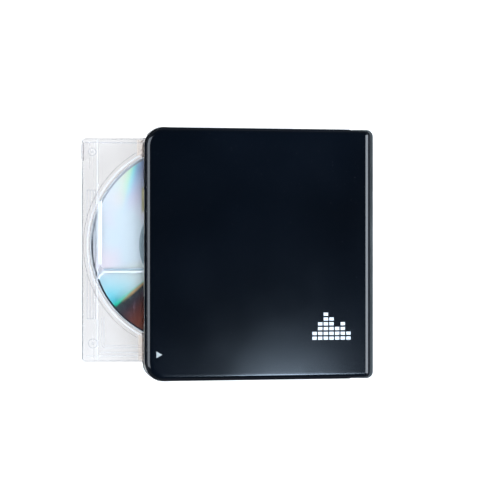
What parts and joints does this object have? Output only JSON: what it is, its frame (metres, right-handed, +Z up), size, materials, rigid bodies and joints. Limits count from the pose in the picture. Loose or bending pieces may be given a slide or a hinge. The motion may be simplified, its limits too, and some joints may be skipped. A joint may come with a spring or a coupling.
{
  "type": "portable minidisc player",
  "caption": "Pocket disc player with a sprung hinged lid, a sliding disc cartridge, side keys and a drive deck.",
  "frame": {"origin": "centre of the case's flat underside", "axes": "+X from the disc mouth to the hinge, +Y along the hinge, +Z up from the table"},
  "size_m": [0.0952, 0.0827, 0.0306],
  "materials": {
    "case_plastic": "satin charcoal",
    "frame_metal": "satin grey",
    "steel": "plain steel",
    "deck_plastic": "matt black",
    "motor_can": "satin",
    "turntable_plastic": "matt black",
    "sled_plastic": "matt",
    "lens_carrier": "satin",
    "lens_glass": "clear, blue coat",
    "cell_wrap": "printed wrap",
    "contact_metal": "gilt",
    "board": "green lacquer",
    "chip_plastic": "matt",
    "jack_plastic": "satin black",
    "switch_metal": "satin",
    "knob_plastic": "silver paint",
    "key_plastic": "silver paint",
    "lid_gloss": "blue-black gloss",
    "liner_sheet": "matt black coat",
    "trim_silver": "satin",
    "holder_sheet": "plain sheet",
    "screw_black": "black oxide",
    "shell_clear": "clear, faintly blue",
    "shutter_steel": "brushed",
    "tab_plastic": "pale grey",
    "disc_silver": "mirror back under clear plastic"
  },
  "bodies": {
    "base": {"lower_case": "case_plastic", "hinge_frame": "frame_metal", "hinge_pins": "steel", "deck_plate": "deck_plastic", "deck_screws": "steel", "case_screws": "screw_black", "spindle_motor": "motor_can", "guide_rod": "steel", "sled_motor": "motor_can", "battery": "cell_wrap", "battery_contacts": "contact_metal", "door_pin": "steel", "main_board": "board", "board_stands": "case_plastic", "chips": "chip_plastic", "headphone_jack": "jack_plastic", "key_board": "board", "key_switches": "switch_metal"},
    "lid": {"lid_cover": "lid_gloss", "lid_liner": "liner_sheet", "slot_trim": "trim_silver", "disc_holder": "holder_sheet", "lid_screws": "screw_black", "holder_springs": "steel", "lid_strike": "steel"},
    "cartridge": {"upper_shell": "shell_clear", "lower_shell": "shell_clear"},
    "shutter": {"shutter": "shutter_steel"},
    "record_tab": {"record_tab": "tab_plastic"},
    "disc": {"disc": "disc_silver", "disc_hub": "steel"},
    "turntable": {"turntable": "turntable_plastic"},
    "lead_screw": {"lead_screw": "steel"},
    "sled": {"pickup_sled": "sled_plastic", "lens_holder": "lens_carrier", "objective_lens": "lens_glass"},
    "battery_door": {"battery_door": "case_plastic"},
    "hold_slider": {"hold_slider": "knob_plastic"},
    "open_slider": {"open_slider": "knob_plastic", "lid_latch": "steel"},
    "play_key": {"play_key": "key_plastic"},
    "stop_key": {"stop_key": "key_plastic"},
    "next_key": {"next_key": "key_plastic"},
    "volume_up_key": {"volume_up_key": "key_plastic"},
    "volume_down_key": {"volume_down_key": "key_plastic"}
  },
  "joints": [
    {"name": "lid_hinge", "type": "hinge", "parent": "base", "child": "lid", "pos_m": [0.0346, 0, 0.011], "axis": [0, 1, 0], "range_deg": [-10, 0], "stiffness_Nm_per_rad": 0.25, "springref_deg": 20.05},
    {"name": "cartridge_slide", "type": "slide", "parent": "lid", "child": "cartridge", "axis": [0.9848, 0, -0.1736], "range_m": [-0.048, 0.0237]},
    {"name": "shutter_slide", "type": "slide", "parent": "cartridge", "child": "shutter", "axis": [0.9848, 0, -0.1736], "range_m": [-0.019, 0]},
    {"name": "record_tab_slide", "type": "slide", "parent": "cartridge", "child": "record_tab", "axis": [0, 1, 0], "range_m": [-0.003, 0]},
    {"name": "disc_spin", "type": "hinge", "parent": "cartridge", "child": "disc", "pos_m": [-0.0226, 0.00294, 0.02235], "axis": [0.1736, 0, 0.9848], "continuous": true},
    {"name": "turntable_spin", "type": "hinge", "parent": "base", "child": "turntable", "pos_m": [0, 0.00294, 0.0085], "axis": [0, 0, 1], "continuous": true},
    {"name": "sled_slide", "type": "slide", "parent": "base", "child": "sled", "axis": [0, -1, 0], "range_m": [0, 0.0156]},
    {"name": "lead_screw_turn", "type": "hinge", "parent": "base", "child": "lead_screw", "pos_m": [0.0122, 0, 0.0047], "axis": [0, 1, 0], "range_deg": [0, 1872]},
    {"name": "battery_door_hinge", "type": "hinge", "parent": "base", "child": "battery_door", "pos_m": [0.02685, 0.0403, 0.0017], "axis": [-1, 0, 0], "range_deg": [0, 90]},
    {"name": "hold_slide", "type": "slide", "parent": "base", "child": "hold_slider", "axis": [1, 0, 0], "range_m": [0, 0.0025]},
    {"name": "open_slide", "type": "slide", "parent": "base", "child": "open_slider", "axis": [-1, 0, 0], "range_m": [0, 0.0026], "stiffness_N_per_m": 120, "springref_m": -0.001},
    {"name": "play_key_press", "type": "slide", "parent": "base", "child": "play_key", "axis": [0, 1, 0], "range_m": [0, 0.0004], "stiffness_N_per_m": 400, "springref_m": -0.0005},
    {"name": "stop_key_press", "type": "slide", "parent": "base", "child": "stop_key", "axis": [0, 1, 0], "range_m": [0, 0.0004], "stiffness_N_per_m": 400, "springref_m": -0.0005},
    {"name": "next_key_press", "type": "slide", "parent": "base", "child": "next_key", "axis": [0, 1, 0], "range_m": [0, 0.0004], "stiffness_N_per_m": 400, "springref_m": -0.0005},
    {"name": "volume_up_key_press", "type": "slide", "parent": "base", "child": "volume_up_key", "axis": [0, 1, 0], "range_m": [0, 0.0004], "stiffness_N_per_m": 400, "springref_m": -0.0005},
    {"name": "volume_down_key_press", "type": "slide", "parent": "base", "child": "volume_down_key", "axis": [0, 1, 0], "range_m": [0, 0.0004], "stiffness_N_per_m": 400, "springref_m": -0.0005}
  ],
  "couplings": [
    {"joint": "lead_screw_turn", "follows": "sled_slide", "rad_per_m": 2094.4}
  ]
}
